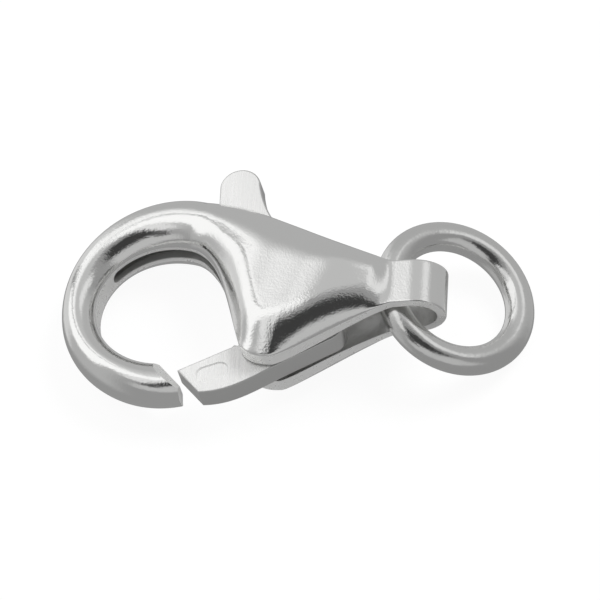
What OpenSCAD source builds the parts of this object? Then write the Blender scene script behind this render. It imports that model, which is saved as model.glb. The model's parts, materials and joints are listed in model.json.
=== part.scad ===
// Trigger clasp of folded silver sheet, with a plate lever and a closed jump ring.
// Built round the centre of the hook's eye: X runs to the tail, Y to the thumb tab and Z out of
// the front face. It is then laid down as it lies by itself, on the hook and on the ring.

/* [Hook] */
// Length of the clasp from the hook's round end to the tail fold
clasp_l = 14.9; // [13.5:0.1:17]
// Length of the eye inside the hook, along the clasp
eye_l = 5.44; // [4.8:0.02:5.8]
// Width of the eye inside the hook, across the clasp
eye_w = 5.2; // [4.8:0.02:5.6]
// Width of the hook's tube, seen from the front
hook_w = 1.36; // [1.1:0.02:1.6]
// Width of the hook's tube where it meets the body
neck_w = 2.1; // [1.7:0.02:2.4]
// Thickness of the hook's tube, from front to back
hook_t = 2.2; // [1.9:0.02:2.5]
// Thickness of the tube where it meets the body
neck_t = 2.9; // [2.6:0.02:3.3]
// Width of the flattened tube at the hook's tip
tip_w = 1.52; // [1.36:0.02:1.7]
// Thickness of the flattened tube at the hook's tip
tip_t = 1.72; // [1.5:0.02:2]
// Height of the flat ground band inside the hook
band_h = 1.04; // [0.96:0.01:1.4]
// Height of the slot left in that band by the folded sheet
slot_h = 0.58; // [0.4:0.01:0.8]
// Angle round the eye at which the slot starts
slot_a = 138; // [125:1:155]

/* [Body] */
// Thickness of the silver sheet
sheet = 0.36; // [0.3:0.01:0.42]
// Thickness of the body over both domes
body_t = 4.4; // [4.1:0.05:4.7]
// Distance from the eye's centre to the rounded lower corner of the body
corner_x = 3.3; // [3.1:0.02:3.6]
// Drop from the eye's centre to the body's lowest rim
corner_y = 3.05; // [2.9:0.02:3.2]
// Width of the strap at the tail
strap_w = 1.9; // [1.7:0.02:2.1]
// Length of the strap and its fold behind the body
loop_l = 1.92; // [1.8:0.02:2.2]
// Length of the rounded fold alone
fold_l = 1.3; // [1.1:0.02:1.5]

/* [Lever] */
// Thickness of the lever plate
lever_t = 1; // [0.8:0.01:1.1]
// Clearance between each face of the lever and the rims beside it
lever_play = 0.1; // [0.06:0.01:0.15]
// Gap between the hook's tip and the end of the gate
tip_gap = 0.34; // [0.2:0.01:0.45]
// Width of the gate arm at its end
gate_w = 1.36; // [1.2:0.02:1.5]
// Reach of the thumb tab above the eye's centre
tab_y = 5.88; // [5.6:0.02:6.2]
// Width of the thumb tab under its round top
tab_w = 1.58; // [1.3:0.02:1.7]
// Diameter of the pivot pin
pin_d = 0.8; // [0.6:0.02:0.9]
// Length of the plain oval pressed into the gate arm
stamp_l = 1.3; // [1:0.05:1.5]
// Depth of that oval
stamp_d = 0.05; // [0.03:0.01:0.08]

/* [Jump ring] */
// Wire of the jump ring
wire_d = 1.12; // [0.9:0.01:1.2]
// Room round the wire inside the tail loop
loop_play = 0.4; // [0.36:0.01:0.5]
// Diameter of the ring along the middle of its wire
ring_d = 5.36; // [5:0.02:6]

/* [Hidden] */
silver = [0.80, 0.80, 0.79];
brushed = [0.88, 0.88, 0.87];

// Running clearance between the pin and the lever's bore, and the least gap between pieces
play = 0.04;
// Steps round the hook, along the body and round the fold
HOOK_STEPS = 30;
BODY_STEPS = 34;
FOLD_STEPS = 8;
// Steps along the hollow part of the hook, and over each half of a section
SLOT_STEPS = 8;
OVER_STEPS = 16;
// Share of the body by which the slot for the thumb tab has opened to its full height
tab_slot = 0.004;
// A height that is as good as none, so that no section closes to a line
thin = 0.03;
// How far an opening is cut past the edge that it opens
open_past = 0.3;

// Angle round the eye where the hook begins, beyond its cut tip, and where the body begins
tip_a = 288;
neck_a = 70;
// Angle from which the tube starts to widen towards the neck, and from which it flattens to the tip
swell_a = 185;
flat_a = 228;
// Fullness of the hook's inner side
hook_full = 1.4;
// Gap between the rims of the two half shells, and clear height inside the tail loop
gap_h = lever_t + 2 * lever_play;
loop_h = wire_d + loop_play;
tail_x = clasp_l - eye_l / 2 - hook_w;
strap_x = tail_x - loop_l;

function lerp(a, b, t) = a + (b - a) * t;
function ease(t) = let (c = min(1, max(0, t))) c * c * (3 - 2 * c);
function bezier(p, t) = pow(1 - t, 3) * p[0] + 3 * t * pow(1 - t, 2) * p[1]
    + 3 * t * t * (1 - t) * p[2] + pow(t, 3) * p[3];
function turn(a) = [cos(a), sin(a)];
// Value of one column of a table at u, on a smooth curve through its rows
function row_before(table, u, i = 0) =
    i + 2 >= len(table) || table[i + 1][0] > u ? i : row_before(table, u, i + 1);
function slope_at(table, col, i) = let (a = max(0, i - 1))
    i + 1 == len(table) ? 0
    : (table[i + 1][col] - table[a][col]) / (table[i + 1][0] - table[a][0]);
function column(table, col, u) =
    let (
        i = row_before(table, u),
        d = table[i + 1][0] - table[i][0],
        t = (u - table[i][0]) / d
    )
    lerp(table[i][col], table[i + 1][col], t * t * (3 - 2 * t))
    + d * t * (1 - t) * ((1 - t) * slope_at(table, col, i) - t * slope_at(table, col, i + 1));

// Hook: eye's edge and tube width at an angle round the eye
function eye_r(a) = 1 / sqrt(pow(cos(a) / (eye_l / 2), 2) + pow(sin(a) / (eye_w / 2), 2));
function swell(a) = ease((swell_a - a) / (swell_a - neck_a));
function flatter(a) = ease((a - flat_a) / (tip_a - flat_a));
function tube_w(a) = lerp(hook_w, neck_w, swell(a)) + (tip_w - hook_w) * flatter(a);
function tube_t(a) = lerp(hook_t, neck_t, pow(max(0, (swell_a - a) / (swell_a - neck_a)), 2))
    + (tip_t - hook_t) * flatter(a);
function inner_full(a) = lerp(1, hook_full, ease((a - neck_a) / (slot_a - neck_a)));

// Body: top rim, wall beside the eye, rounded corner and lower rim, each a curve from the neck
// to the strap. Its wall stands a little inside the corner, and its foot ends above the lowest rim.
foot_in = 0.24;
foot_share = 0.76;
corner_len = 1;
along = [sin(neck_a), -cos(neck_a)];
neck_out = (eye_r(neck_a) + tube_w(neck_a)) * turn(neck_a);
neck_in = eye_r(neck_a) * turn(neck_a);
strap_top = [strap_x, strap_w / 2];
strap_low = [strap_x, -strap_w / 2];
wall_foot = [corner_x - foot_in, -corner_y * foot_share];
corner_end = [corner_x + corner_len, -corner_y];
rim_reach = strap_x - neck_out[0];
// Pulls of those curves at the neck, at the wall's foot, over the corner and at the strap, the
// pulls of the long rims as shares of their reach
neck_pull = 1.35;
foot_pull = [-0.5, 1.6];
corner_pull = [0.17, -0.54];
low_pull = [0.55, 0.02];
top_pull = 0.26;
strap_top_pull = [-0.23, 0.075];
strap_low_pull = [-0.2, -0.05];
top_rim = [neck_out, neck_out + top_pull * rim_reach * along,
    strap_top + rim_reach * strap_top_pull, strap_top];
wall_rim = [neck_in, neck_in + neck_pull * along, wall_foot + foot_pull, wall_foot];
corner_rim = [wall_foot, wall_foot + corner_pull,
    corner_end + [-low_pull[0], low_pull[1]], corner_end];
low_rim = [corner_end, corner_end + low_pull, strap_low + rim_reach * strap_low_pull, strap_low];
// Shares of the body's length at which the corner begins and ends
corner_from = 0.42;
corner_to = 0.6;
function rim_in(u) =
    u < corner_from ? bezier(wall_rim, u / corner_from)
    : u < corner_to ? bezier(corner_rim, (u - corner_from) / (corner_to - corner_from))
    : bezier(low_rim, (u - corner_to) / (1 - corner_to));

// Domes of the body, from the neck to the strap. Heights are shares of half its thickness,
// shoulders are shares of the way across, and a fullness is 1 for an ellipse and 2 for a parabola.
flat_h = (loop_h + 2 * sheet) / body_t;
edge_h = (gap_h + 2 * sheet) / body_t;
DOME = [
    // place, crest, outer shoulder, inner shoulder, outer edge, inner edge, outer, inner, wall fullness
    [0.00, neck_t / body_t, 0.50, 0.50, 0, band_h / body_t, 1.00, 1.00, 0.00],
    [0.10, 0.72, 0.48, 0.50, 0.48 * edge_h, 0.70 * edge_h, 1.05, 1.00, 0.03],
    [0.22, 0.83, 0.42, 0.45, 0.96 * edge_h, 0.96 * edge_h, 1.20, 0.80, 0.70],
    [0.36, 0.935, 0.36, 0.27, 1.07 * edge_h, 1.14 * edge_h, 1.30, 0.90, 1.30],
    [0.48, 0.945, 0.32, 0.28, 1.12 * edge_h, 1.33 * edge_h, 1.35, 1.90, 1.40],
    [0.60, 0.95, 0.31, 0.39, 1.14 * edge_h, 1.33 * edge_h, 1.40, 2.20, 1.40],
    [0.75, 0.925, 0.31, 0.50, 1.16 * edge_h, 1.22 * edge_h, 1.40, 1.60, 1.40],
    [0.90, 0.735, 0.38, 0.50, 1.16 * edge_h, 1.16 * edge_h, 1.50, 1.50, 1.40],
    [1.00, flat_h, 0.50, 0.50, flat_h, flat_h, 2.00, 2.00, 1.40],
];
// The wall leans back from its foot up to the neck, where it bends into the hook, and below the
// foot it bends back with the corner. The dome takes wall_wide to reach its height over it.
wall_lean = 1.3;
foot_bend = 16;
neck_bend = 8;
wall_wide = 1.35;
function wall_x(y) =
    let (up = (y - wall_foot[1]) / (neck_in[1] - wall_foot[1]))
    wall_foot[0] - wall_lean * up
    - (wall_foot[0] - wall_lean - neck_in[0]) * pow(max(0, up), neck_bend)
    - foot_bend * pow(min(0, up), 2);
// Share of the body over which the gap widens from the slot in the hook to the full gap
gap_from = 0.02;
gap_to = 0.2;
// Share of the body from which it widens again to the height of the tail loop
gap_wide = 0.75;
// Least share of the sheet by which the hollow stands in from a flared rim
rim_inset = 0.08;

// A section is [outer point, inner point, crest, outer shoulder, inner shoulder, outer edge,
// inner edge, outer fullness, inner fullness, wall fullness, hollow's outer edge, hollow's inner
// edge, outer opening, inner opening], with an opening of 0 where the rim is closed and 1 where it
// is open
function hook_section(a) = let (r = eye_r(a))
    [(r + tube_w(a)) * turn(a), r * turn(a), tube_t(a) / 2, 0.5, 0.5, thin, band_h / 2, 1,
        inner_full(a), 0, thin, band_h / 2 - sheet / 2, 0, 0];
function body_section(u) =
    let (
        half = body_t / 2,
        opened = ease((u - gap_from) / (gap_to - gap_from)),
        gap = lerp(gap_h, loop_h, ease((u - gap_wide) / (1 - gap_wide))) / 2
    )
    [bezier(top_rim, u), rim_in(u), half * column(DOME, 1, u), column(DOME, 2, u),
        column(DOME, 3, u), max(thin, half * column(DOME, 4, u)), half * column(DOME, 5, u),
        column(DOME, 6, u), column(DOME, 7, u), column(DOME, 8, u), gap,
        lerp(band_h / 2 - sheet / 2, gap, opened), 1, opened];
// Fold: the front and back straps meet in a half ellipse at the tail
function fold_section(t, inside) =
    let (
        wall = inside ? sheet : 0,
        x = tail_x - fold_l + (fold_l - wall) * sin(90 * t),
        half = max(thin, (loop_h / 2 + sheet - wall) * cos(90 * t))
    )
    [[x, strap_w / 2], [x, -strap_w / 2], half, 0.5, 0.5, half, half, 2, 2, 0, half, half, 1, 1];

// Runs of sections, counted in steps. The hollow and the slot are cut at other steps than those of
// the outer form, so that no edge of a cut lies across an edge of the form.
hook_run = [for (i = [0:HOOK_STEPS]) hook_section(lerp(tip_a, neck_a, i / HOOK_STEPS))];
function slot_run(from, to) =
    [for (i = [from:to]) hook_section(lerp(slot_a, neck_a, i / SLOT_STEPS))];
function body_run(from, to) = [for (i = [from:to]) body_section(i / BODY_STEPS)];
function fold_run(from, inside) = [for (i = [from:FOLD_STEPS]) fold_section(i / FOLD_STEPS, inside)];
outer_run = body_run(1, BODY_STEPS);

// Upper half of a section of the outer form, from the outer edge over the crest to the inner edge
function rise(share, full) = pow(1 - pow(1 - min(1, share), 2), full / 2);
function dome_at(place, from, to, crest, shoulders, edges, fulls) =
    let (
        p = lerp(from, to, place),
        edge = lerp(edges[0], edges[1], place),
        over_wall = fulls[2] > 0 ? rise(max(0, p[0] - wall_x(p[1])) / wall_wide, fulls[2]) : 1,
        share = rise(place / shoulders[0], fulls[0]) * rise((1 - place) / shoulders[1], fulls[1])
    )
    [p[0], p[1], edge + max(0, crest - edge) * share * over_wall];
function outer_at(s, place) =
    dome_at(place, s[0], s[1], s[2], [s[3], s[4]], [s[5], s[6]], [s[7], s[8], s[9]]);
function outer_half(s) =
    [for (k = [0:OVER_STEPS]) outer_at(s, (1 - cos(180 * k / OVER_STEPS)) / 2)];
// Upper half of the hollow: a sheet's thickness inside the outer form, and run out past a rim
// that is open
function inset_for(full) = sheet * min(1, max(rim_inset, 2.05 - full));
function hollow_at(s, place) =
    let (unit = (s[1] - s[0]) / norm(s[1] - s[0]))
    dome_at(place, s[0] + inset_for(s[7]) * unit, s[1] - inset_for(s[8] + s[9]) * unit,
        max(s[2] - sheet, s[10], s[11]), [s[3], s[4]], [s[10], s[11]], [s[7], s[8], s[9]]);
function hollow_half(s) =
    let (
        unit = (s[1] - s[0]) / norm(s[1] - s[0]),
        inside = [for (k = [0:OVER_STEPS]) hollow_at(s, (1 - cos(180 * k / OVER_STEPS)) / 2)],
        from = [inside[0][0], inside[0][1]],
        to = [inside[OVER_STEPS][0], inside[OVER_STEPS][1]],
        past_out = lerp(from, s[0] - open_past * unit, s[12]),
        past_in = lerp(to, s[1] + open_past * unit, s[13])
    )
    concat(
        [[past_out[0], past_out[1], s[10] * lerp(0.5, 1, s[12])]],
        inside,
        [[past_in[0], past_in[1], s[11] * lerp(0.5, 1, s[13])]]
    );
function ring_of(half) =
    concat(half, [for (i = [len(half) - 1:-1:0]) [half[i][0], half[i][1], -half[i][2]]]);

// A closed skin over a list of rings of points
module skin(rings) {
    n = len(rings[0]);
    m = len(rings);
    sides = [for (i = [0:m - 2]) for (k = [0:n - 1])
        let (a = i * n + k, b = i * n + (k + 1) % n, c = b + n, d = a + n)
        each [[a, c, b], [a, d, c]]];
    first = [for (k = [0:n - 1]) k];
    last = [for (k = [n - 1:-1:0]) (m - 1) * n + k];
    polyhedron(points = [for (r = rings) each r], faces = concat(sides, [first, last]));
}

module outer_form() {
    skin([for (s = concat(hook_run, outer_run, fold_run(0, false))) ring_of(outer_half(s))]);
}

module hollow() {
    runs = concat(slot_run(0, SLOT_STEPS), [body_section(tab_slot)],
        body_run(0.5, BODY_STEPS - 0.5), fold_run(1, true));
    skin([for (s = runs) ring_of(hollow_half(s))]);
}

// Slot in the inner band of the hook, from its round end to where the rims part. It is cut from
// the middle of the tube to well inside the eye.
slot_from = 0.55;
slot_to = 1.25;
module slot() {
    runs = concat(slot_run(0.2, SLOT_STEPS - 0.8), body_run(0.25, SLOT_STEPS + 0.25));
    skin([for (s = runs)
        let (a = lerp(s[0], s[1], slot_from), b = lerp(s[0], s[1], slot_to), h = slot_h / 2)
        [[a[0], a[1], h], [b[0], b[1], h], [b[0], b[1], -h], [a[0], a[1], -h]]]);
    rotate([0, 90, slot_a]) cylinder(d = slot_h + 2 * thin, h = hook_mid, $fn = 24);
}

// End of the gate: its upper corner, and the direction of its face
gate_top = [0.59, -2.93];
end_a = -50.4;
gate_low = gate_top + gate_w * turn(end_a);
// The hook's tip is cut along the end of the gate, ground to a blunt wedge and blunted outside.
// The cuts take all of the tube beyond the tip.
bevel_a = 52;
bevel_front = 0.42;
bevel_back = 0.15;
blunt_at = 0.6;
blunt_a = -6;
past_tip = 1.6;
past_side = 1.5 * tip_w;
module cut_block(length, above, below) {
    translate([0, -below, -hook_t]) cube([length, above + below, 2 * hook_t]);
}
module tip_cut() {
    translate([gate_top[0], gate_top[1], 0]) rotate([0, 0, end_a + 90]) translate([-tip_gap, 0, 0]) {
        cut_block(past_tip, past_side / 2, past_side);
        for (side = [0, 1]) mirror([0, 0, side])
            translate([0, 0, side == 0 ? bevel_front : bevel_back])
            rotate([0, bevel_a - 90, 0]) cut_block(past_tip, past_side / 2, past_side);
        translate([0, -blunt_at, 0]) rotate([0, 0, blunt_a - end_a - 90])
            cut_block(past_tip, 0, past_side);
    }
}

module shell() {
    color(silver) laid() resize([0, 0, 0]) difference() {
        outer_form();
        hollow();
        slot();
        tip_cut();
    }
}

// Lever: gate arm, thumb tab and rounded heel in one plate
function arc(centre, r, from, to, steps) =
    [for (i = [0:steps]) centre + r * turn(lerp(from, to, i / steps))];
function curve(p, steps) = [for (i = [1:steps - 1]) bezier(p, i / steps)];
tab_r = tab_w / 2;
tab_x = 1.89;
tab_at = [tab_x + tab_r, tab_y - tab_r];
heel_r = 0.7;
heel_at = [6.25, -1.35];
rim_dir = -64;
belly_low = [4.2, -3.12];
gate_root = [2.66, -2.06];
// Outline between those: the notch behind the gate, the edge along the wall, the tab's two roots
// with the curve at the right one, the straight back, and the curve of the belly
notch = [[0.09, 0.09], [0.24, 0.05]];
wall_edge = [[3.1, -1.5], [3.05, 0.4], [2.75, 2.4]];
tab_root = 4.3;
tab_end_a = 15;
tab_flank = [[3.46, 4.95], [3.62, 4.25], [3.95, 3.68]];
back_edge = [[5.3, 1.0], [6.6, -0.7]];
heel_a = 10;
belly = [[3.3, -3.6], [2.5, -4.05]];
module lever_outline() {
    polygon(concat(
        [gate_top, gate_root, gate_root + notch[0], gate_root + notch[1]],
        wall_edge,
        [[tab_x, tab_root]],
        arc(tab_at, tab_r, 180, tab_end_a, 12),
        curve(concat([tab_at + tab_r * turn(tab_end_a)], tab_flank), 6),
        [tab_flank[2]],
        back_edge,
        arc(heel_at, heel_r, heel_a, rim_dir, 6),
        [belly_low],
        curve([belly_low, belly[0], belly[1], gate_low], 8),
        [gate_low]
    ));
}

// Plain oval field pressed into the front of the gate arm
stamp_at = [1.95, -3.12];
stamp_a = 16;
stamp_w = 0.72;
module stamp() {
    translate([stamp_at[0], stamp_at[1], lever_t / 2 - stamp_d]) rotate([0, 0, stamp_a]) {
        for (side = [-1, 1]) translate([side * (stamp_l - stamp_w) / 2, 0, 0])
            cylinder(d = stamp_w, h = lever_t, $fn = 40);
        translate([-(stamp_l - stamp_w) / 2, -stamp_w / 2, 0])
            cube([stamp_l - stamp_w, stamp_w, lever_t]);
    }
}

module lever() {
    color(brushed) laid() difference() {
        translate([0, 0, -lever_t / 2]) linear_extrude(height = lever_t) lever_outline();
        translate([pivot[0], pivot[1], -lever_t])
            cylinder(d = pin_d + 2 * play, h = 2 * lever_t, $fn = 48);
        stamp();
    }
}

// Pivot pin: held between the domes, at a share of the body's length and of the way across it
pin_u = 0.56;
pin_across = 0.72;
pin_under = hollow_at(body_section(pin_u), pin_across);
pivot = [pin_under[0], pin_under[1]];
// Room over each end of the pin for the slope of the dome
pin_room = 0.22;
pin_half = pin_under[2] - pin_room;
module pivot_pin() {
    color(silver) laid() translate([pivot[0], pivot[1], -pin_half])
        cylinder(d = pin_d, h = 2 * pin_half, $fn = 48);
}

// How the clasp lies: tail up, on the round end of the hook and on the back dome, both of which
// reach the surface at the angle that settle() finds
hook_mid = eye_l / 2 + hook_w / 2;
hook_side = [for (s = hook_run) each outer_half(s)];
body_side = [for (s = outer_run) each outer_half(s)];
function lowest(side, tilt) = min([for (p = side) p[0] * sin(tilt) - p[2] * cos(tilt)]);
function settle(from, to, steps) =
    let (mid = (from + to) / 2)
    steps == 0 ? mid
    : lowest(hook_side, mid) < lowest(body_side, mid) ? settle(from, mid, steps - 1)
    : settle(mid, to, steps - 1);
steepest = 20;
halvings = 12;
rest_tilt = settle(0, steepest, halvings);
floor_z = lowest(body_side, rest_tilt);

// Jump ring: its wire passes through the tail loop, and its far side lies on the surface
in_loop = [0.29, 0.56, 0.17];
ring_in = [strap_x - in_loop[0], in_loop[1], in_loop[2]];
ring_swing = rest_tilt + asin((ring_in[0] * sin(rest_tilt) + ring_in[2] * cos(rest_tilt) - floor_z
    - wire_d / 2) / ring_d);
ring_at = ring_in + ring_d / 2 * [cos(ring_swing), 0, -sin(ring_swing)];
module jump_ring() {
    color(silver) laid() translate(ring_at) rotate([0, ring_swing, 0])
        rotate_extrude($fn = 96) translate([ring_d / 2, 0]) circle(d = wire_d, $fn = 32);
}

// Laid down with its lowest points on the surface and its box centred on the origin
left_x = -hook_mid * cos(rest_tilt) - hook_w / 2;
right_x = (ring_at[0] + ring_d / 2 * cos(ring_swing)) * cos(rest_tilt)
    - (ring_at[2] - ring_d / 2 * sin(ring_swing)) * sin(rest_tilt) + wire_d / 2;
shift = [-(left_x + right_x) / 2, -(tab_y + gate_low[1]) / 2, -floor_z];
module laid() {
    translate(shift) rotate([0, -rest_tilt, 0]) children();
}

shell();
lever();
pivot_pin();
jump_ring();
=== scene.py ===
"""Looks of a silver trigger clasp: polished folded shell, brushed lever plate and closed jump ring.

The pieces are shaped in clasp coordinates, in millimetres: the origin is the centre of the hook's
eye, X runs to the tail, Y to the thumb tab and Z out of the front face. LAID puts them where the
clasp lies, in metres.
"""
import json
import math

import bmesh
import bpy
import numpy as np
from mathutils import Matrix, Vector


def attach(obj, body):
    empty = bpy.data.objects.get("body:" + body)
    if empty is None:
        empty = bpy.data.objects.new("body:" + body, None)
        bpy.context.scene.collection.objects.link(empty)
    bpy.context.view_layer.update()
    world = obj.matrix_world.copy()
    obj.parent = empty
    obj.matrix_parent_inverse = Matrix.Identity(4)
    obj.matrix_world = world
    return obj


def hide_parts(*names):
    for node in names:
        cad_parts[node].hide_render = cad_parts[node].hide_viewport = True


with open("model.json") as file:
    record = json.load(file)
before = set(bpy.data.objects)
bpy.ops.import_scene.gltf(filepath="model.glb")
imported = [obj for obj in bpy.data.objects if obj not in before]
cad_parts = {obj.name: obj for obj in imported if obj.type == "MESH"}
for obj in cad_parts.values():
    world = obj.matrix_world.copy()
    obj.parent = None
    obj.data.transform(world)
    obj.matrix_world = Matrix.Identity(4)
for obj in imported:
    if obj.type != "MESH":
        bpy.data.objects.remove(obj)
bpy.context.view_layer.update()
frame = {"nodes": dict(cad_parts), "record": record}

# Places that the part's record states
MOUNTS = {mount["name"]: mount for mount in frame["record"]["mounts"]}
EYE, RING_EYE = MOUNTS["hook_eye"], MOUNTS["ring_eye"]
TILT = math.atan2(-EYE["axis"][0], EYE["axis"][2])
MM = 0.001
TURNED = Matrix.Rotation(-TILT, 4, "Y")
LAID = Matrix.Translation(EYE["pos_m"]) @ TURNED @ Matrix.Scale(MM, 4)
PIVOT = LAID.inverted() @ Vector(frame["record"]["behaviour"]["joints"][0]["pos_m"])

# Hook
CLASP_L, EYE_L, EYE_W = 14.9, 5.44, 5.2
HOOK_W, NECK_W, HOOK_T, NECK_T = 1.36, 2.1, 2.2, 2.9
BAND_H, SLOT_H, SLOT_A = 1.04, 0.58, 138
TIP_A, NECK_A, SWELL_A = 288, 70, 185
# Size of the flatter tube at the tip, where it starts, and fullness of the hook's inner side
TIP_W, TIP_T, TIP_FROM, HOOK_FULL = 1.52, 1.72, 228, 1.4
# Body
SHEET, BODY_T, CORNER_X, CORNER_Y = 0.36, 4.4, 3.3, 3.05
STRAP_W, LOOP_L, FOLD_L = 1.9, 1.92, 1.3
# Lever
LEVER_T, LEVER_PLAY, TIP_GAP, GATE_W = 1.0, 0.1, 0.34, 1.36
TAB_Y, TAB_W, PIN_D, PIN_PLAY = 5.88, 1.58, 0.8, 0.04
# Plain oval pressed into the gate: size, depth, taper to its floor, place and turn
STAMP_L, STAMP_W, STAMP_D, STAMP_TAPER, STAMP_AT, STAMP_A = 1.3, 0.72, 0.05, 0.1, (1.95, -3.12), 16
# Jump ring
WIRE_D, RING_D, LOOP_PLAY = 1.12, 5.36, 0.4

GAP_H = LEVER_T + 2 * LEVER_PLAY
LOOP_H = WIRE_D + LOOP_PLAY
TAIL_X = CLASP_L - EYE_L / 2 - HOOK_W
STRAP_X = TAIL_X - LOOP_L
# Wear: how far each kind of edge is rounded, in how many steps, and the most of a side that it takes
RIM_ROUND, LIP_ROUND, PLATE_ROUND = 0.085, 0.05, 0.055
ROUND_N, PLATE_ROUND_N, MOST = 3, 4, 0.45
# Turn, in degrees, from which an edge stays crisp, on sheet and plate and on round wire
CRISP, WIRE_CRISP = 24, 60
# Small distances: the step beside a lip, those below which points are one, and heights that are none
HAIR, WELD, FINE_WELD, LEVEL, NIL = 0.002, 2e-4, 1e-4, 1e-5, 1e-6


def lerp(a, b, t):
    return a + (b - a) * t


def ease(t):
    c = min(1.0, max(0.0, t))
    return c * c * (3 - 2 * c)


def turn(degrees):
    a = math.radians(degrees)
    return np.array([math.cos(a), math.sin(a)])


def bezier(p, t):
    return (1 - t) ** 3 * p[0] + 3 * t * (1 - t) ** 2 * p[1] + 3 * t * t * (1 - t) * p[2] + t ** 3 * p[3]


# Hook and body in plan


def eye_r(a):
    """Radius of the oval eye at an angle."""
    c, s = turn(a)
    return 1 / math.hypot(c / (EYE_L / 2), s / (EYE_W / 2))


def swell(a):
    """Share by which the tube has widened to the neck."""
    return ease((SWELL_A - a) / (SWELL_A - NECK_A))


def flatter(a):
    """Share by which the tube has flattened to the tip."""
    return ease((a - TIP_FROM) / (TIP_A - TIP_FROM))


def tube_t(a):
    return (lerp(HOOK_T, NECK_T, max(0, (SWELL_A - a) / (SWELL_A - NECK_A)) ** 2)
            + (TIP_T - HOOK_T) * flatter(a))


def tube_w(a):
    return lerp(HOOK_W, NECK_W, swell(a)) + (TIP_W - HOOK_W) * flatter(a)


NECK_OUT = (eye_r(NECK_A) + tube_w(NECK_A)) * turn(NECK_A)
NECK_IN = eye_r(NECK_A) * turn(NECK_A)
ALONG = np.array([math.sin(math.radians(NECK_A)), -math.cos(math.radians(NECK_A))])
STRAP_TOP = np.array([STRAP_X, STRAP_W / 2])
STRAP_LOW = np.array([STRAP_X, -STRAP_W / 2])
WALL_FOOT = np.array([CORNER_X - 0.24, -CORNER_Y * 0.76])
CORNER_END = np.array([CORNER_X + 1, -CORNER_Y])
RIM_REACH = STRAP_X - NECK_OUT[0]
TOP_RIM = (NECK_OUT, NECK_OUT + 0.26 * RIM_REACH * ALONG,
           STRAP_TOP + RIM_REACH * np.array([-0.23, 0.075]), STRAP_TOP)
WALL_RIM = (NECK_IN, NECK_IN + 1.35 * ALONG, WALL_FOOT + np.array([-0.5, 1.6]), WALL_FOOT)
CORNER_RIM = (WALL_FOOT, WALL_FOOT + np.array([0.17, -0.54]),
              CORNER_END + np.array([-0.55, 0.02]), CORNER_END)
LOW_RIM = (CORNER_END, CORNER_END + np.array([0.55, 0.02]),
           STRAP_LOW + RIM_REACH * np.array([-0.2, -0.05]), STRAP_LOW)
CORNER_FROM, CORNER_TO = 0.42, 0.6


def rim_in(u):
    """Plan of the body's inner rim: down the wall, round the corner and along the lower rim."""
    if u < CORNER_FROM:
        return bezier(WALL_RIM, u / CORNER_FROM)
    if u < CORNER_TO:
        return bezier(CORNER_RIM, (u - CORNER_FROM) / (CORNER_TO - CORNER_FROM))
    return bezier(LOW_RIM, (u - CORNER_TO) / (1 - CORNER_TO))


# Domes of the body, from the neck to the strap. Heights are shares of half its thickness, shoulders
# are shares of the way across, and a fullness is 1 for an ellipse and 2 for a parabola.
FLAT = (LOOP_H + 2 * SHEET) / BODY_T
EDGE = (GAP_H + 2 * SHEET) / BODY_T
DOME = np.array([
    # place, crest, outer and inner shoulder, outer and inner edge, outer, inner and wall fullness
    [0.00, NECK_T / BODY_T, 0.50, 0.50, 0.00, BAND_H / BODY_T, 1.00, 1.00, 0.00],
    [0.10, 0.72, 0.48, 0.50, 0.48 * EDGE, 0.70 * EDGE, 1.05, 1.00, 0.03],
    [0.22, 0.83, 0.42, 0.45, 0.96 * EDGE, 0.96 * EDGE, 1.20, 0.80, 0.70],
    [0.36, 0.935, 0.36, 0.27, 1.07 * EDGE, 1.14 * EDGE, 1.30, 0.90, 1.30],
    [0.48, 0.945, 0.32, 0.28, 1.12 * EDGE, 1.33 * EDGE, 1.35, 1.90, 1.40],
    [0.60, 0.95, 0.31, 0.39, 1.14 * EDGE, 1.33 * EDGE, 1.40, 2.20, 1.40],
    [0.75, 0.925, 0.31, 0.50, 1.16 * EDGE, 1.22 * EDGE, 1.40, 1.60, 1.40],
    [0.90, 0.735, 0.38, 0.50, 1.16 * EDGE, 1.16 * EDGE, 1.50, 1.50, 1.40],
    [1.00, FLAT, 0.50, 0.50, FLAT, FLAT, 2.00, 2.00, 1.40],
])
# Wall of the body: width of its rounding, lean up to the neck, and bends at the neck and at the foot
WALL_WIDE, WALL_LEAN, NECK_BEND, FOOT_BEND = 1.35, 1.3, 8, 16
WALL_TOP = WALL_FOOT[0] - WALL_LEAN


def column(col, u):
    """One column of DOME at u, on a smooth curve through its rows."""
    i = int(min(len(DOME) - 2, max(0, np.searchsorted(DOME[:, 0], u, side="right") - 1)))
    width = DOME[i + 1, 0] - DOME[i, 0]
    t = (u - DOME[i, 0]) / width

    def slope(k):
        a, b = max(0, k - 1), min(len(DOME) - 1, k + 1)
        return 0 if b == k else (DOME[b, col] - DOME[a, col]) / (DOME[b, 0] - DOME[a, 0])

    return (lerp(DOME[i, col], DOME[i + 1, col], t * t * (3 - 2 * t))
            + width * t * (1 - t) * ((1 - t) * slope(i) - t * slope(i + 1)))


# Shell: sections of its front sheet, each a closed loop round the sheet's own thickness

# Points along a curve before it is sampled
DENSE = 241


def rise(share, full):
    """Share of the height reached at a share of the way up a shoulder of this fullness."""
    return np.power(1 - (1 - np.minimum(1, share)) ** 2, full / 2)


def wall_x(y):
    """Where the body's wall stands at a height in plan: nearly straight, bent back at the neck."""
    up = (y - WALL_FOOT[1]) / (NECK_IN[1] - WALL_FOOT[1])
    straight = lerp(WALL_FOOT[0], WALL_TOP, up)
    return (straight - (WALL_TOP - NECK_IN[0]) * np.power(np.maximum(0, up), NECK_BEND)
            - FOOT_BEND * np.minimum(0, up) ** 2)


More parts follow.
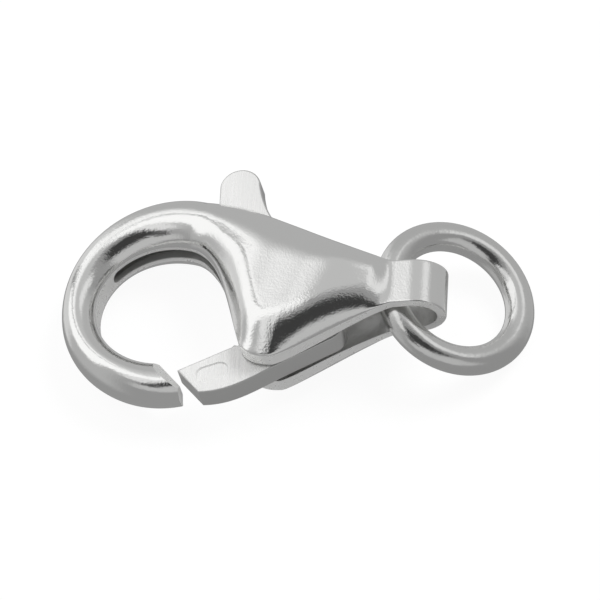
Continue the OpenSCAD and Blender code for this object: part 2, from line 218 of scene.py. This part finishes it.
def arch(start, end, crest, wide_out, wide_in, edge_out, edge_in, full_out, full_in, full_wall=0):
    """Curve over a section, from its outer edge over the crest to its inner edge."""
    place = (1 - np.cos(np.linspace(0, math.pi, DENSE))) / 2
    plan = np.outer(1 - place, start) + np.outer(place, end)
    edge = lerp(edge_out, edge_in, place)
    height = rise(place / wide_out, full_out) * rise((1 - place) / wide_in, full_in)
    if full_wall > 0:
        off = np.maximum(0, plan[:, 0] - wall_x(plan[:, 1]))
        height *= rise(off / WALL_WIDE, full_wall)
    return np.column_stack([plan, edge + np.maximum(0, crest - edge) * height])


def clipped(line, lip):
    """The line with a wall at its start down to z = lip, or cut off where it rises past lip, and the
    index of the corner between the wall and the rest."""
    if line[0][2] > lip + 2 * HAIR:
        return np.vstack([[line[0][0], line[0][1], lip], line]), 1
    k = int(np.argmax(line[:, 2] > lip))
    t = (lip - line[k - 1][2]) / (line[k][2] - line[k - 1][2]) if k else 0
    first = lerp(line[k - 1], line[k], t) if k else line[0] * [1, 1, 0] + [0, 0, lip]
    return np.vstack([first, first + [0, 0, HAIR], line[max(k, 1):]]), 1


def lengths(line):
    """Length along the line to each of its points."""
    return np.concatenate([[0], np.cumsum(np.linalg.norm(np.diff(line, axis=0), axis=1))])


# Samples round a section: outer wall, dome, inner wall, inner lip, inside and outer lip
WALL_N, DOME_N, LIP_N, INSIDE_N = 8, 60, 4, 26
LOOP_N = 2 * WALL_N + DOME_N + 2 * LIP_N + INSIDE_N
FIRST_LIP = 2 * WALL_N + DOME_N


def spread(start, end, near, far, count):
    """count places from start up to, but not at, end, with ROUND_N closer ones at each rounded end."""
    near, far = min(near, MOST * (end - start)), min(far, MOST * (end - start))
    head = [start + near * k / ROUND_N for k in range(ROUND_N)] if near else []
    tail = [end - far * k / ROUND_N for k in range(ROUND_N, 0, -1)] if far else []
    inner = np.linspace(start + near, end - far, count - len(head) - len(tail) + 1)
    return np.concatenate([head, inner[:-1], tail])


def loop_round(outer, inner, lip_out, lip_in, rounds):
    """Loop round the sheet: up the outer wall, over the dome, down the inner wall, along the inner
    lip, back inside and along the outer lip. rounds are the radii at its four outer corners."""
    line, first = clipped(outer, lip_out)
    back, last = clipped(line[::-1], lip_in)
    line = back[::-1]
    corners = [0, first, len(line) - 1 - last, len(line) - 1]
    inside = inner[::-1].copy()
    if inside[0][2] > lip_in + NIL:
        inside = np.vstack([[inside[0][0], inside[0][1], lip_in], inside])
    if inside[-1][2] > lip_out + NIL:
        inside = np.vstack([inside, [inside[-1][0], inside[-1][1], lip_out]])
    whole = np.vstack([line, inside, line[:1]])
    s = lengths(whole)
    marks = [s[k] for k in corners] + [s[len(line)], s[len(line) + len(inside) - 1], s[-1]]
    ends = [*rounds, 0, 0, rounds[0]]
    counts = (WALL_N, DOME_N, WALL_N, LIP_N, INSIDE_N, LIP_N)
    places = np.concatenate([spread(marks[k], marks[k + 1], ends[k], ends[k + 1], count)
                             for k, count in enumerate(counts)])

    def at(place):
        place = place % s[-1]
        return np.array([np.interp(place, s, whole[:, axis]) for axis in range(3)])

    def length(k):
        return marks[k + 1] - marks[k]

    points = [at(place) for place in places]
    for n, r in enumerate(rounds):
        before = s[-1] - marks[5] if n == 0 else length(n - 1)
        reach_before = min(r, MOST * before)
        reach_after = min(r, MOST * length(n))
        if not reach_before or not reach_after:
            continue
        a, c, b = at(marks[n] - reach_before), at(marks[n]), at(marks[n] + reach_after)
        for k, place in enumerate(places):
            off = place - marks[n]
            if n == 0 and off > s[-1] / 2:
                off -= s[-1]
            t = 0.5 + 0.5 * (off / reach_before if off < 0 else off / reach_after)
            if 0 < t < 1:
                points[k] = (1 - t) ** 2 * a + 2 * t * (1 - t) * c + t * t * b
    return np.array(points)


# Least inset of the inside at an edge, as a share of the sheet, and the fullness that would need none
LEAST_INSET, NO_INSET = 0.08, 2.05


def inset_for(full):
    """How far the inside stands in from the outside at an edge: less where the dome rises steeply."""
    return SHEET * min(1.0, max(LEAST_INSET, NO_INSET - full))


def sheet_loop(out, into, crest, wide_out, wide_in, edge_out, edge_in, full_out, full_in, full_wall,
               hollow_out, hollow_in, lip_out, lip_in, rounds):
    """Section of the sheet from out to into in plan. Its outside has heights edge_out and edge_in at the
    two edges, its inside hollow_out and hollow_in, and its lips stand at lip_out and lip_in."""
    unit = (into - out) / np.linalg.norm(into - out)
    outer = arch(out, into, crest, wide_out, wide_in, edge_out, edge_in, full_out, full_in, full_wall)
    inner = arch(out + inset_for(full_out) * unit, into - inset_for(full_in + full_wall) * unit,
                 max(crest - SHEET, hollow_out, hollow_in), wide_out, wide_in,
                 hollow_out, hollow_in, full_out, full_in, full_wall)
    return loop_round(outer, inner, lip_out, lip_in, rounds)


def hook_loop(a):
    r = eye_r(a)
    past = (a - SLOT_A) * math.radians(1) * r
    half = SLOT_H / 2
    slot = half if past <= 0 else math.sqrt(max(0.0, half * half - past * past))
    lip_round = LIP_ROUND * min(1.0, slot / half)
    flared = lerp(1, HOOK_FULL, ease((a - NECK_A) / (SLOT_A - NECK_A)))
    return sheet_loop(
        (r + tube_w(a)) * turn(a), r * turn(a), tube_t(a) / 2, wide_out=0.5, wide_in=0.5,
        edge_out=0.0, edge_in=BAND_H / 2, full_out=1, full_in=flared, full_wall=0,
        hollow_out=0.0, hollow_in=BAND_H / 2 - SHEET / 2, lip_out=0.0, lip_in=slot,
        rounds=(0, 0, RIM_ROUND, lip_round))


# Shares of the body: where the gap opens below, where it widens to the tail loop, and the round end of
# the thumb tab's slot
GAP_FROM, GAP_TO, LOOP_FROM, TAB_SLOT_END = 0.02, 0.2, 0.75, 0.02


def body_loop(u):
    half = BODY_T / 2
    opened = ease((u - GAP_FROM) / (GAP_TO - GAP_FROM))
    gap = lerp(GAP_H, LOOP_H, ease((u - LOOP_FROM) / (1 - LOOP_FROM))) / 2
    worn = min(1.0, u / TAB_SLOT_END)
    slot = gap * math.sqrt(1 - (1 - worn) ** 2)
    return sheet_loop(
        bezier(TOP_RIM, u), rim_in(u), half * column(1, u), wide_out=column(2, u),
        wide_in=column(3, u), edge_out=max(0.0, half * column(4, u)), edge_in=half * column(5, u),
        full_out=column(6, u), full_in=column(7, u), full_wall=column(8, u), hollow_out=slot,
        hollow_in=lerp(BAND_H / 2 - SHEET / 2, gap, opened), lip_out=slot,
        lip_in=lerp(SLOT_H / 2, gap, opened),
        rounds=(LIP_ROUND * worn, RIM_ROUND * worn, RIM_ROUND, LIP_ROUND))


def fold_loop(flat, x, t):
    """The strap's own loop carried on to x, or round the tail fold to t."""
    depth = (flat[:, 2] - LOOP_H / 2) / SHEET
    a = math.radians(90 * t)
    along = lerp(FOLD_L - SHEET, FOLD_L, depth) * math.sin(a)
    height = lerp(LOOP_H / 2, LOOP_H / 2 + SHEET, depth) * math.cos(a)
    return np.column_stack([x + along, flat[:, 1], height])


# Loops along the hook's solid part, round its slot's end and along its hollow part; round the end of
# the thumb tab's slot and along the body; along the strap and round its fold
SOLID_ROWS, SLOT_ROWS, HOLLOW_ROWS = 75, 11, 37
TAB_ROWS, BODY_ROWS = 8, 117
STRAP_ROWS, FOLD_ROWS = 5, 24
HOOK_ROWS = SOLID_ROWS + SLOT_ROWS + HOLLOW_ROWS + TAB_ROWS


def after(start, end, count):
    """count even steps from start, which is left out, to end."""
    return list(np.linspace(start, end, count + 1))[1:]


def shell_loops():
    """Loops from the hook's tip to the tail fold."""
    half_arc = math.degrees(SLOT_H / 2 / eye_r(SLOT_A))
    solid = list(np.linspace(TIP_A, SLOT_A + half_arc, SOLID_ROWS + 1))[:-1]
    slot_end = [SLOT_A + half_arc * math.cos(math.radians(q)) for q in np.linspace(0, 90, SLOT_ROWS)]
    loops = [hook_loop(a) for a in solid + slot_end + after(SLOT_A, NECK_A, HOLLOW_ROWS)]
    tab_end = [TAB_SLOT_END * (1 - math.cos(math.radians(q))) for q in after(0, 90, TAB_ROWS)]
    loops += [body_loop(u) for u in tab_end + after(TAB_SLOT_END, 1, BODY_ROWS)]
    flat = loops[-1]
    fold_x = TAIL_X - FOLD_L
    loops += [fold_loop(flat, x, 0) for x in after(STRAP_X, fold_x, STRAP_ROWS)]
    return loops + [fold_loop(flat, fold_x, t) for t in after(0, 1, FOLD_ROWS)]


def grid_of(bm, rows, columns):
    """A lattice of vertices, as a table by row and column."""
    made = bmesh.ops.create_grid(bm, x_segments=rows - 1, y_segments=columns - 1, size=1)
    table = [[None] * columns for _ in range(rows)]
    for vert in made["verts"]:
        i = round((vert.co.x + 1) / 2 * (rows - 1))
        j = round((vert.co.y + 1) / 2 * (columns - 1))
        table[i][j] = vert
    return table


def shade_smooth(bm, sharp):
    """Smooth faces, with every edge that turns by more than sharp degrees kept crisp."""
    for face in bm.faces:
        face.smooth = True
    for edge in bm.edges:
        if len(edge.link_faces) == 2:
            edge.smooth = edge.calc_face_angle(0) < math.radians(sharp)


def piece(name, bm, body, materials, place=LAID):
    """Makes a shape a piece of the model, laid in place and riding on its body."""
    bm.transform(place)
    mesh = bpy.data.meshes.new(name)
    bm.to_mesh(mesh)
    bm.free()
    obj = bpy.data.objects.new(name, mesh)
    bpy.context.scene.collection.objects.link(obj)
    for material in materials:
        mesh.materials.append(material)
    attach(obj, body)
    return obj


# Materials of the shell: polished outside, trimmed edges, and the inside, whose darker colour is painted
# shade in the slot's hollow
POLISHED, TRIMMED, INSIDE = range(3)
# Tip: slope of its ground bevels, where they start on the front and back, and its blunted corner
BEVEL_A, BEVEL_FRONT, BEVEL_BACK, BLUNT_AT, BLUNT_A = 52, 0.42, 0.15, 0.6, -6
# Part of the hook that the grinding reaches
GROUND_FROM, GROUND_TO, GROUND_BELOW = -1.6, 2, -1.7
GATE_TOP, END_A = np.array([0.59, -2.93]), -50.4
GATE_LOW = GATE_TOP + GATE_W * turn(END_A)


def tip_planes():
    """Point and normal of each plane that the hook's tip is ground to."""
    ex, ey = turn(END_A + 90), turn(END_A + 180)
    start = GATE_TOP - TIP_GAP * ex
    lean = turn(BEVEL_A - 90)
    yield (*start, 0), (*ex, 0)
    for side, off in ((1, BEVEL_FRONT), (-1, BEVEL_BACK)):
        yield (*start, side * off), (*(lean[0] * ex), -side * lean[1])
    yield (*(start - BLUNT_AT * ey), 0), (*turn(BLUNT_A), 0)


def grind_tip(bm):
    """Cuts the tip off at each of its planes and closes the cut, which is left unpolished."""
    for point, normal in tip_planes():
        near = [v for v in bm.verts
                if GROUND_FROM < v.co.x < GROUND_TO and v.co.y < GROUND_BELOW]
        reached = set(near)
        edges = [e for e in bm.edges if reached.issuperset(e.verts)]
        faces = [f for f in bm.faces if reached.issuperset(f.verts)]
        cut = bmesh.ops.bisect_plane(bm, geom=[*near, *edges, *faces], dist=FINE_WELD,
                                     plane_co=point, plane_no=normal, clear_outer=True)
        rim = [g for g in cut["geom_cut"] if isinstance(g, bmesh.types.BMEdge) and g.is_boundary]
        for face in bmesh.ops.contextual_create(bm, geom=rim)["faces"]:
            face.material_index = TRIMMED


def build_shell(materials):
    loops = shell_loops()
    bm = bmesh.new()
    table = grid_of(bm, len(loops), LOOP_N + 1)
    unwanted = []
    for face in bm.faces:
        middle = face.calc_center_median()
        row = (middle.x + 1) / 2 * (len(loops) - 1)
        place = (middle.y + 1) / 2 * LOOP_N
        if place > FIRST_LIP and row < SOLID_ROWS:
            unwanted.append(face)
        dome = WALL_N - 1 < place < WALL_N + DOME_N + 1
        hook_side = row < HOOK_ROWS and place < WALL_N + DOME_N
        # Faces inside the sheet take the darker material, which paints shade into the slot
        edge_silver = TRIMMED if place < FIRST_LIP else INSIDE
        face.material_index = POLISHED if dome or hook_side else edge_silver
    for row, loop in zip(table, loops):
        for vert, point in zip(row, [*loop, loop[0]]):
            vert.co = point
    bmesh.ops.delete(bm, geom=unwanted, context="FACES")
    flat = [f for f in bm.faces if all(abs(v.co.z) < LEVEL for v in f.verts)]
    bmesh.ops.delete(bm, geom=flat, context="FACES")
    bmesh.ops.remove_doubles(bm, verts=bm.verts[:], dist=WELD)
    bmesh.ops.mirror(bm, geom=bm.verts[:] + bm.edges[:] + bm.faces[:], matrix=Matrix.Identity(4),
                     merge_dist=WELD, axis="Z")
    bmesh.ops.remove_doubles(bm, verts=bm.verts[:], dist=WELD)
    bmesh.ops.holes_fill(bm, edges=[e for e in bm.edges if e.is_boundary], sides=0)
    grind_tip(bm)
    bmesh.ops.recalc_face_normals(bm, faces=bm.faces[:])
    shade_smooth(bm, CRISP)
    shell = piece("clasp_shell", bm, "clasp", materials)
    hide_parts("shell")


# Lever plate


def arc(centre, r, start, end, steps):
    """Points on an arc, both ends included, from start to end in degrees."""
    return [np.array(centre) + r * turn(lerp(start, end, i / steps)) for i in range(steps + 1)]


def curve(p, steps):
    """Points on a curve, both ends left out."""
    points = [np.array(q, float) for q in p]
    return [bezier(points, i / steps) for i in range(1, steps)]


# Thumb tab, with the end of its round top and the foot of its right side, and heel inside the body
TAB_R, TAB_LEFT, TAB_END, TAB_FOOT = TAB_W / 2, 1.89, 15, (3.95, 3.68)
TAB_AT = np.array([TAB_LEFT + TAB_R, TAB_Y - TAB_R])
HEEL_R, HEEL_AT, HEEL_FROM, HEEL_TO = 0.7, (6.25, -1.35), 10, -64
GATE_ROOT, BELLY_LOW = np.array([2.66, -2.06]), np.array([4.2, -3.12])


def lever_outline():
    """Clockwise from the gate's end: gate, inner side, thumb tab, back, heel and belly."""
    return [
        GATE_TOP, GATE_ROOT, GATE_ROOT + [0.09, 0.09], GATE_ROOT + [0.24, 0.05],
        (3.1, -1.5), (3.05, 0.4), (2.75, 2.4), (TAB_AT[0] - TAB_R, 4.3),
        *arc(TAB_AT, TAB_R, 180, TAB_END, steps=30),
        *curve([TAB_AT + TAB_R * turn(TAB_END), (3.46, 4.95), (3.62, 4.25), TAB_FOOT], steps=14),
        TAB_FOOT, (5.3, 1.0), (6.6, -0.7),
        *arc(HEEL_AT, HEEL_R, HEEL_FROM, HEEL_TO, steps=18),
        BELLY_LOW,
        *curve([BELLY_LOW, (3.3, -3.6), (2.5, -4.05), GATE_LOW], steps=20),
        GATE_LOW,
    ]


def closed_loop(bm, points, z):
    """Edges through the points and back to the first, at one height."""
    verts = [bm.verts.new((p[0], p[1], z)) for p in points]
    return [bm.edges.new((a, b)) for a, b in zip(verts, verts[1:] + verts[:1])]


def stadium(length, width, centre, degrees, steps=16):
    """Outline of an oval with straight sides."""
    ends = []
    for side in (0, 180):
        middle = turn(side) * (length - width) / 2
        ends += arc(middle, width / 2, side - 90, side + 90, steps)
    c, s = turn(degrees)
    return [np.array([c * x - s * y + centre[0], s * x + c * y + centre[1]]) for x, y in ends]


FACE, SIDE = range(2)


def rounded_face(bm, face):
    """Rounds the rim of a plate's face in a few narrow insets."""
    for k in range(1, PLATE_ROUND_N + 1):
        a, b = (math.radians(90 * n / PLATE_ROUND_N) for n in (k - 1, k))
        bmesh.ops.inset_individual(
            bm, faces=[face], thickness=PLATE_ROUND * (math.cos(a) - math.cos(b)),
            depth=PLATE_ROUND * (math.sin(b) - math.sin(a)), use_even_offset=True)


def build_lever(materials):
    bm = bmesh.new()
    low = bm.faces.new([bm.verts.new((p[0], p[1], -LEVER_T / 2 + PLATE_ROUND))
                        for p in lever_outline()])
    made = bmesh.ops.extrude_face_region(bm, geom=[low], use_keep_orig=True)["geom"]
    top = next(g for g in made if isinstance(g, bmesh.types.BMFace))
    bmesh.ops.translate(bm, verts=top.verts[:], vec=(0, 0, LEVER_T - 2 * PLATE_ROUND))
    bmesh.ops.recalc_face_normals(bm, faces=bm.faces[:])
    for face in bm.faces:
        face.material_index = SIDE
    bores = []
    for face, z in ((top, LEVER_T / 2), (low, -LEVER_T / 2)):
        rounded_face(bm, face)
        rim = face.edges[:]
        bmesh.ops.delete(bm, geom=[face], context="FACES_ONLY")
        bore = closed_loop(bm, arc(PIVOT[:2], PIN_D / 2 + PIN_PLAY, 0, 360, steps=48)[:-1], z)
        bores += bore
        fill = rim + bore
        if z > 0:
            oval = closed_loop(bm, stadium(STAMP_L, STAMP_W, STAMP_AT, STAMP_A), z)
            fill += oval
        filled = bmesh.ops.triangle_fill(bm, use_beauty=True, use_dissolve=False, edges=fill)["geom"]
        for made_face in filled:
            if isinstance(made_face, bmesh.types.BMFace):
                made_face.material_index = FACE
    floor_edges = closed_loop(
        bm, stadium(STAMP_L - STAMP_TAPER, STAMP_W - STAMP_TAPER, STAMP_AT, STAMP_A),
        LEVER_T / 2 - STAMP_D)
    bmesh.ops.bridge_loops(bm, edges=oval + floor_edges)
    bmesh.ops.contextual_create(bm, geom=floor_edges, mat_nr=FACE)
    bmesh.ops.bridge_loops(bm, edges=bores)
    bmesh.ops.recalc_face_normals(bm, faces=bm.faces[:])
    shade_smooth(bm, CRISP)
    lever = piece("clasp_lever", bm, "trigger", materials)
    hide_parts("lever")


# Jump ring

# Sides of its wire, and steps round it
WIRE_N, RING_N = 48, 160


def build_ring(material):
    bm = bmesh.new()
    wire = bmesh.ops.create_circle(bm, cap_ends=False, segments=WIRE_N, radius=WIRE_D / 2)["verts"]
    bmesh.ops.rotate(bm, verts=wire, cent=(0, 0, 0), matrix=Matrix.Rotation(math.pi / 2, 3, "X"))
    bmesh.ops.translate(bm, verts=wire, vec=(RING_D / 2, 0, 0))
    bmesh.ops.spin(bm, geom=bm.verts[:] + bm.edges[:], cent=(0, 0, 0), axis=(0, 0, 1),
                   angle=2 * math.pi, steps=RING_N, use_merge=True)
    bmesh.ops.remove_doubles(bm, verts=bm.verts[:], dist=FINE_WELD)
    bmesh.ops.recalc_face_normals(bm, faces=bm.faces[:])
    shade_smooth(bm, WIRE_CRISP)
    axis = Vector(RING_EYE["axis"])
    place = (Matrix.Translation(RING_EYE["pos_m"])
             @ Vector((0, 0, 1)).rotation_difference(axis).to_matrix().to_4x4()
             @ Matrix.Scale(MM, 4))
    ring = piece("closed_ring", bm, "clasp", [material], place)
    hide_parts("jump_ring")


# Materials


def new_material(name, colour, roughness):
    material = bpy.data.materials.new(name)
    material.use_nodes = True
    nodes = material.node_tree.nodes
    shader = nodes["Principled BSDF"]
    shader.inputs["Metallic"].default_value = 1
    shader.inputs["Base Color"].default_value = (*colour, 1)
    shader.inputs["Roughness"].default_value = roughness
    return material, nodes, material.node_tree.links, shader


def grain(nodes, links, scale, stretch=(1, 1, 1), turned=(0, 0, 0)):
    """Noise on the piece's own coordinates, in metres, stretched along one way."""
    where = nodes.new("ShaderNodeTexCoord")
    mapping = nodes.new("ShaderNodeMapping")
    mapping.inputs["Rotation"].default_value = turned
    mapping.inputs["Scale"].default_value = stretch
    noise = nodes.new("ShaderNodeTexNoise")
    noise.inputs["Scale"].default_value = scale
    noise.inputs["Detail"].default_value = 3
    links.new(where.outputs["Object"], mapping.inputs["Vector"])
    links.new(mapping.outputs["Vector"], noise.inputs["Vector"])
    return noise


def ranged(nodes, links, source, low, high, to, start=0.3, end=0.7):
    """Feeds source's value, spread from low to high, into a socket."""
    span = nodes.new("ShaderNodeMapRange")
    span.inputs["From Min"].default_value = start
    span.inputs["From Max"].default_value = end
    span.inputs["To Min"].default_value = low
    span.inputs["To Max"].default_value = high
    links.new(source.outputs["Fac"], span.inputs["Value"])
    links.new(span.outputs["Result"], to)


def bumped(nodes, links, sources, shader):
    """Stacks bumps, each (source, height in metres)."""
    last = None
    for source, height in sources:
        bump = nodes.new("ShaderNodeBump")
        bump.inputs["Strength"].default_value = 1
        bump.inputs["Distance"].default_value = height
        links.new(source.outputs["Fac"], bump.inputs["Height"])
        if last:
            links.new(last.outputs["Normal"], bump.inputs["Normal"])
        last = bump
    links.new(last.outputs["Normal"], shader.inputs["Normal"])


def polished_silver():
    material, nodes, links, shader = new_material("polished silver", (0.93, 0.93, 0.92), 0.1)
    fine = grain(nodes, links, 14000)
    grains = grain(nodes, links, 5000)
    coarse = grain(nodes, links, 1500)
    ranged(nodes, links, coarse, 0.06, 0.14, shader.inputs["Roughness"])
    bumped(nodes, links, [(fine, 5e-6), (grains, 4e-6), (coarse, 3e-6)], shader)
    return material


def tumbled_silver():
    material, nodes, links, shader = new_material("tumbled silver", (0.86, 0.86, 0.85), 0.16)
    fine = grain(nodes, links, 9000)
    coarse = grain(nodes, links, 1800)
    ranged(nodes, links, coarse, 0.1, 0.24, shader.inputs["Roughness"])
    bumped(nodes, links, [(fine, 4e-6), (coarse, 1e-5)], shader)
    return material


def satin_silver(name, colour, roughness, metal=1.0, height=2e-6):
    material, nodes, links, shader = new_material(name, colour, roughness)
    shader.inputs["Metallic"].default_value = metal
    fine = grain(nodes, links, 4000)
    ranged(nodes, links, fine, roughness * 0.8, roughness * 1.25, shader.inputs["Roughness"])
    bumped(nodes, links, [(fine, height)], shader)
    return material


def brushed_silver():
    material, nodes, links, shader = new_material("brushed silver", (0.97, 0.97, 0.96), 0.3)
    shader.inputs["Metallic"].default_value = 0.35
    lines = grain(nodes, links, 9000, (1, 0.05, 0.05), (0, 0, math.radians(-8)))
    ranged(nodes, links, lines, 0.2, 0.4, shader.inputs["Roughness"])
    bumped(nodes, links, [(lines, 1e-5)], shader)
    return material


def build_pieces():
    polished = polished_silver()
    trimmed = satin_silver("trimmed edge silver", (0.87, 0.87, 0.86), 0.3, metal=0.6, height=2e-7)
    # Inside of the shell: its darker base colour is painted shade for the hollow of the slot
    inside = satin_silver("inside of the shell, painted shade", (0.72, 0.72, 0.71), 0.4, metal=0.75, height=6e-6)
    brushed = brushed_silver()
    side = satin_silver("lever edge silver", (0.78, 0.78, 0.77), 0.35, height=4e-6)
    ring = tumbled_silver()
    build_shell([polished, trimmed, inside])
    build_lever([brushed, side])
    build_ring(ring)
    pin = frame["nodes"]["pivot_pin"]
    drawn = satin_silver("drawn wire silver", (0.8, 0.8, 0.79), 0.3)
    for place in range(len(pin.material_slots)):
        pin.material_slots[place].material = drawn


# Floor, light and camera

VIEW_RIGHT = Vector((0.9797, 0.0425, -0.1958))
VIEW_UP = Vector((0.0679, 0.8492, 0.5237))
TO_CAMERA = Vector((0.1886, -0.5264, 0.829))
# Photograph's frame, in pixels, its scale, and where the eye's centre lies in it
FRAME_PX, PX_PER_MM, EYE_PX = 600, 26.3, (168, 312.4)
CAMERA_M, SENSOR_MM = 0.8, 36
# Floor's half width and glow, and its lamp's place, width and power
FLOOR_HALF, FLOOR_GLOW = 2, 0.92
LAMP_AT, LAMP_WIDTH, LAMP_WATTS = Vector((0.25, 0.22, 0.42)), 0.3, 1.6


def build_camera():
    turned = TURNED.to_3x3()
    right, up, back = (turned @ v.normalized() for v in (VIEW_RIGHT, VIEW_UP, TO_CAMERA))
    aim = (Vector(EYE["pos_m"]) + right * (FRAME_PX / 2 - EYE_PX[0]) / PX_PER_MM * MM
           + up * (EYE_PX[1] - FRAME_PX / 2) / PX_PER_MM * MM)
    data = bpy.data.cameras.new("camera")
    data.sensor_width = SENSOR_MM
    data.lens = SENSOR_MM * CAMERA_M / (FRAME_PX / PX_PER_MM * MM)
    data.clip_start, data.clip_end = 0.01, 10
    camera = bpy.data.objects.new("camera", data)
    back = right.cross(up).normalized()
    up = back.cross(right)
    place = Matrix((right, up, back)).transposed().to_4x4()
    place.translation = aim + back * CAMERA_M
    camera.matrix_world = place
    bpy.context.scene.collection.objects.link(camera)
    bpy.context.scene.camera = camera


def build_floor():
    bm = bmesh.new()
    bmesh.ops.create_grid(bm, x_segments=1, y_segments=1, size=FLOOR_HALF)
    mesh = bpy.data.meshes.new("floor")
    bm.to_mesh(mesh)
    bm.free()
    floor = bpy.data.objects.new("floor", mesh)
    bpy.context.scene.collection.objects.link(floor)
    material = bpy.data.materials.new("floor paper")
    material.use_nodes = True
    shader = material.node_tree.nodes["Principled BSDF"]
    shader.inputs["Base Color"].default_value = (0.1, 0.1, 0.1, 1)
    shader.inputs["Roughness"].default_value = 0.9
    shader.inputs["Emission Color"].default_value = (1, 1, 1, 1)
    shader.inputs["Emission Strength"].default_value = FLOOR_GLOW
    mesh.materials.append(material)
    floor.visible_glossy = False


# Light tent around the clasp, as the metal reflects it: each row is laid over the rows before it
GREY_WALL = 0.3
TENT = [
    # azimuth, half width, fade, lowest, highest, fade (degrees), brightness
    (-150, 100, 30, -40, 100, 20, 0.44),   # pale wall behind and to the left
    (180, 70, 30, 40, 100, 14, 0.52),      # roof behind
    (-128, 24, 12, -40, 16, 10, 0.65),     # floor in front of the lamp panel
    (-80, 30, 20, 56, 100, 10, 0.75),      # upper part of the lamp panel
    (-145, 12, 26, 30, 66, 16, 0.85),      # glow beside the lamp panel
    (-110, 35, 10, 12, 84, 12, 1.0),       # lamp panel on the left
    (122, 26, 14, 38, 58, 8, 0.76),        # lamp panel on the right, behind
    (10, 48, 14, 6, 41, 8, 0.5),           # pale sheet in front
    (-45, 15, 10, 45, 80, 10, 0.75),       # strip of light between panel and opening
    (18, 46, 12, 44, 75, 6, 0.045),        # dark opening for the lens
    (-25, 9, 5, 30, 50, 8, 0.08),          # low left edge of the opening
    (-132, 2, 1.2, -5, 66, 3, 0.14),       # seam up the left corner
]


def maths(nodes, links, operation, first, second=None):
    node = nodes.new("ShaderNodeMath")
    node.operation = operation
    for socket, value in zip(node.inputs, (first, second)):
        if isinstance(value, (int, float)):
            socket.default_value = value
        elif value is not None:
            links.new(value, socket)
    return node.outputs[0]


def faded(nodes, links, value, half, fade):
    """1 where value is within half of zero, easing to 0 over fade."""
    span = nodes.new("ShaderNodeMapRange")
    span.interpolation_type = "SMOOTHSTEP"
    span.inputs["From Min"].default_value = half - fade / 2
    span.inputs["From Max"].default_value = half + fade / 2
    span.inputs["To Min"].default_value = 1
    span.inputs["To Max"].default_value = 0
    links.new(maths(nodes, links, "ABSOLUTE", value), span.inputs["Value"])
    return span.outputs["Result"]


def build_tent():
    world = bpy.data.worlds.new("light tent")
    bpy.context.scene.world = world
    world.use_nodes = True
    nodes, links = world.node_tree.nodes, world.node_tree.links
    where = nodes.new("ShaderNodeTexCoord")
    level = None
    for azimuth, half, fade, low, high, high_fade, light in TENT:
        turned = nodes.new("ShaderNodeMapping")
        turned.inputs["Rotation"].default_value = (0, 0, -math.radians(azimuth))
        links.new(where.outputs["Generated"], turned.inputs["Vector"])
        split = nodes.new("ShaderNodeSeparateXYZ")
        links.new(turned.outputs["Vector"], split.inputs["Vector"])
        around = maths(nodes, links, "ARCTAN2", split.outputs["X"],
                       maths(nodes, links, "MULTIPLY", split.outputs["Y"], -1))
        upward = maths(nodes, links, "ARCSINE", split.outputs["Z"])
        middle = math.radians(low + high) / 2
        across = faded(nodes, links, around, math.radians(half), math.radians(fade))
        up = faded(nodes, links, maths(nodes, links, "SUBTRACT", upward, middle),
                   math.radians(high - low) / 2, math.radians(high_fade))
        share = maths(nodes, links, "MULTIPLY", across, up)
        mix = nodes.new("ShaderNodeMix")
        links.new(share, mix.inputs["Factor"])
        if level is None:
            mix.inputs["A"].default_value = GREY_WALL
        else:
            links.new(level, mix.inputs["A"])
        mix.inputs["B"].default_value = light
        level = mix.outputs["Result"]
    links.new(level, nodes["Background"].inputs["Color"])


def build_lamp():
    """Soft lamp behind and to the right that only lights the floor and casts the soft shadow."""
    data = bpy.data.lights.new("floor lamp", "AREA")
    data.shape, data.size, data.energy = "DISK", LAMP_WIDTH, LAMP_WATTS
    lamp = bpy.data.objects.new("floor lamp", data)
    lamp.visible_glossy = False
    lamp.location = LAMP_AT
    lamp.rotation_euler = LAMP_AT.to_track_quat("Z", "Y").to_euler()
    bpy.context.scene.collection.objects.link(lamp)


bpy.context.scene.view_settings.view_transform = "Standard"
build_camera()
build_floor()
build_tent()
build_lamp()
build_pieces()
